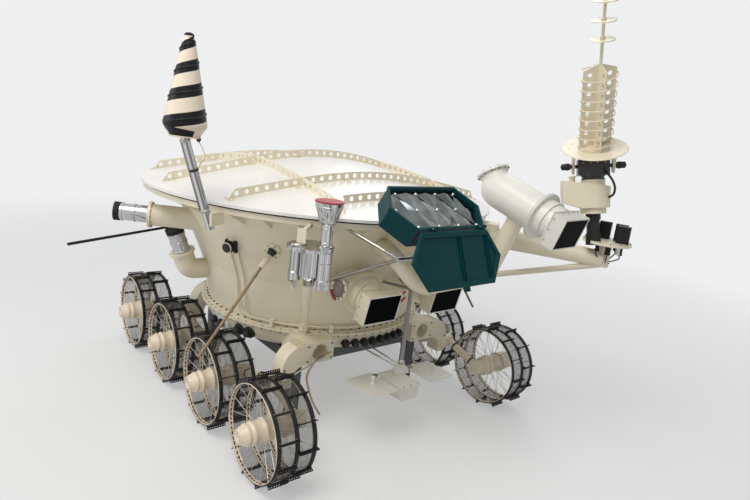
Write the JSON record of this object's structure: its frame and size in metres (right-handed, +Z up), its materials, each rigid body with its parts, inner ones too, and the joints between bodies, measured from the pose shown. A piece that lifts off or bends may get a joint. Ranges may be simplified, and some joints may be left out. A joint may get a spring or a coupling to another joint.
{
  "type": "planetary rover",
  "caption": "Eight-wheeled planetary rover with a round hull, domed ribbed lid, cameras, laser reflector and two antennas, on a display stand.",
  "frame": {"origin": "centre of the flat underside of the round pan, on the hull's axis", "axes": "+Z up along the hull's axis, -Y the way the low cameras look, +X the rover's left"},
  "size_m": [2.9468, 2.955, 2.3519],
  "materials": {
    "black_box": "matte black",
    "black_glass": "glossy black",
    "black_rod": "matte black",
    "black_rubber": "matte black",
    "bright_metal": "polished",
    "cell_dark": "dark glossy cells",
    "cream_paint": "satin cream paint",
    "grey_metal": "satin grey",
    "quilted_glass": "facetted mirror glass",
    "radiator_white": "white enamel",
    "red_cap": "dull red",
    "stand_steel": "dark grey paint",
    "striped_cone": "cream with a black spiral band",
    "teal_paint": "satin dark teal",
    "wheel_metal": "dark and bare metal",
    "white_gloss": "glossy white paint",
    "wood_brown": "brown varnish"
  },
  "bodies": {
    "hull": {"antenna_boxes": "black_box", "antenna_pedestal": "cream_paint", "belly_flange": "cream_paint", "belly_pan": "cream_paint", "camera_pipe": "cream_paint", "camera_windows": "black_glass", "cone_antenna": "striped_cone", "cone_antenna_mount": "bright_metal", "connectors": "black_rubber", "display_stand": "stand_steel", "eye_cameras": "cream_paint", "free_wheel_ears": "cream_paint", "heat_source": "cream_paint", "hull_cables": "cream_paint", "hull_tub": "cream_paint", "lid_hinge_forks": "cream_paint", "lid_seal": "black_rubber", "mast_camera": "cream_paint", "pan_camera_barrels": "bright_metal", "pan_camera_caps": "black_rubber", "pan_camera_tubes": "cream_paint", "photometer": "bright_metal", "photometer_cap": "red_cap", "radiator_deck": "radiator_white", "reflector_box": "teal_paint", "reflector_prisms": "quilted_glass", "reflector_struts": "grey_metal", "rim_ring": "cream_paint", "side_whips": "black_rod", "spectrometer": "cream_paint", "suspension_castings": "cream_paint", "swing_arms": "cream_paint", "whip_antennas": "wood_brown"},
    "lid": {"lid_panel": "white_gloss", "lid_ribs": "cream_paint", "solar_cells": "cell_dark", "lid_knuckles": "cream_paint"},
    "cover": {"reflector_cover": "teal_paint"},
    "turntable": {"antenna_turntable": "cream_paint"},
    "antenna": {"antenna_head": "cream_paint"},
    "free_arm": {"free_wheel_arm": "cream_paint"},
    "free_roller": {"free_wheel": "wheel_metal"},
    "wheel_left_1": {"wheel_left_1": "wheel_metal"},
    "wheel_left_2": {"wheel_left_2": "wheel_metal"},
    "wheel_left_3": {"wheel_left_3": "wheel_metal"},
    "wheel_left_4": {"wheel_left_4": "wheel_metal"},
    "wheel_right_1": {"wheel_right_1": "wheel_metal"},
    "wheel_right_2": {"wheel_right_2": "wheel_metal"},
    "wheel_right_3": {"wheel_right_3": "wheel_metal"},
    "wheel_right_4": {"wheel_right_4": "wheel_metal"}
  },
  "joints": [
    {"name": "wheel_left_1_spin", "type": "hinge", "parent": "hull", "child": "wheel_left_1", "pos_m": [0.8, -0.93005, -0.135], "axis": [1, 0, 0], "continuous": true},
    {"name": "wheel_left_2_spin", "type": "hinge", "parent": "hull", "child": "wheel_left_2", "pos_m": [0.8, -0.36335, -0.135], "axis": [1, 0, 0], "continuous": true},
    {"name": "wheel_left_3_spin", "type": "hinge", "parent": "hull", "child": "wheel_left_3", "pos_m": [0.8, 0.20335, -0.135], "axis": [1, 0, 0], "continuous": true},
    {"name": "wheel_left_4_spin", "type": "hinge", "parent": "hull", "child": "wheel_left_4", "pos_m": [0.8, 0.77005, -0.135], "axis": [1, 0, 0], "continuous": true},
    {"name": "wheel_right_1_spin", "type": "hinge", "parent": "hull", "child": "wheel_right_1", "pos_m": [-0.8, -0.93005, -0.135], "axis": [1, 0, 0], "continuous": true},
    {"name": "wheel_right_2_spin", "type": "hinge", "parent": "hull", "child": "wheel_right_2", "pos_m": [-0.8, -0.36335, -0.135], "axis": [1, 0, 0], "continuous": true},
    {"name": "wheel_right_3_spin", "type": "hinge", "parent": "hull", "child": "wheel_right_3", "pos_m": [-0.8, 0.20335, -0.135], "axis": [1, 0, 0], "continuous": true},
    {"name": "wheel_right_4_spin", "type": "hinge", "parent": "hull", "child": "wheel_right_4", "pos_m": [-0.8, 0.77005, -0.135], "axis": [1, 0, 0], "continuous": true},
    {"name": "lid_hinge", "type": "hinge", "parent": "hull", "child": "lid", "pos_m": [0, 1.118, 0.8333], "axis": [-1, 0, 0], "range_deg": [0, 180]},
    {"name": "cover_hinge", "type": "hinge", "parent": "hull", "child": "cover", "pos_m": [0, -1.34348, 0.8811], "axis": [-1, 0, 0], "range_deg": [0, 214]},
    {"name": "antenna_azimuth", "type": "hinge", "parent": "hull", "child": "turntable", "pos_m": [0.765, -1.485, 0.652], "axis": [0, 0.2164, 0.9763], "range_deg": [-60, 60]},
    {"name": "antenna_tilt", "type": "hinge", "parent": "turntable", "child": "antenna", "pos_m": [0.765, -1.36704, 1.18408], "axis": [0.6094, -0.7741, 0.1716], "range_deg": [-27, 32]},
    {"name": "free_wheel_lift", "type": "hinge", "parent": "hull", "child": "free_arm", "pos_m": [0, 0.76, 0.02], "axis": [1, 0, 0], "range_deg": [0, 40]},
    {"name": "free_wheel_spin", "type": "hinge", "parent": "free_arm", "child": "free_roller", "pos_m": [0, 1.18, -0.225], "axis": [1, 0, 0], "continuous": true}
  ]
}
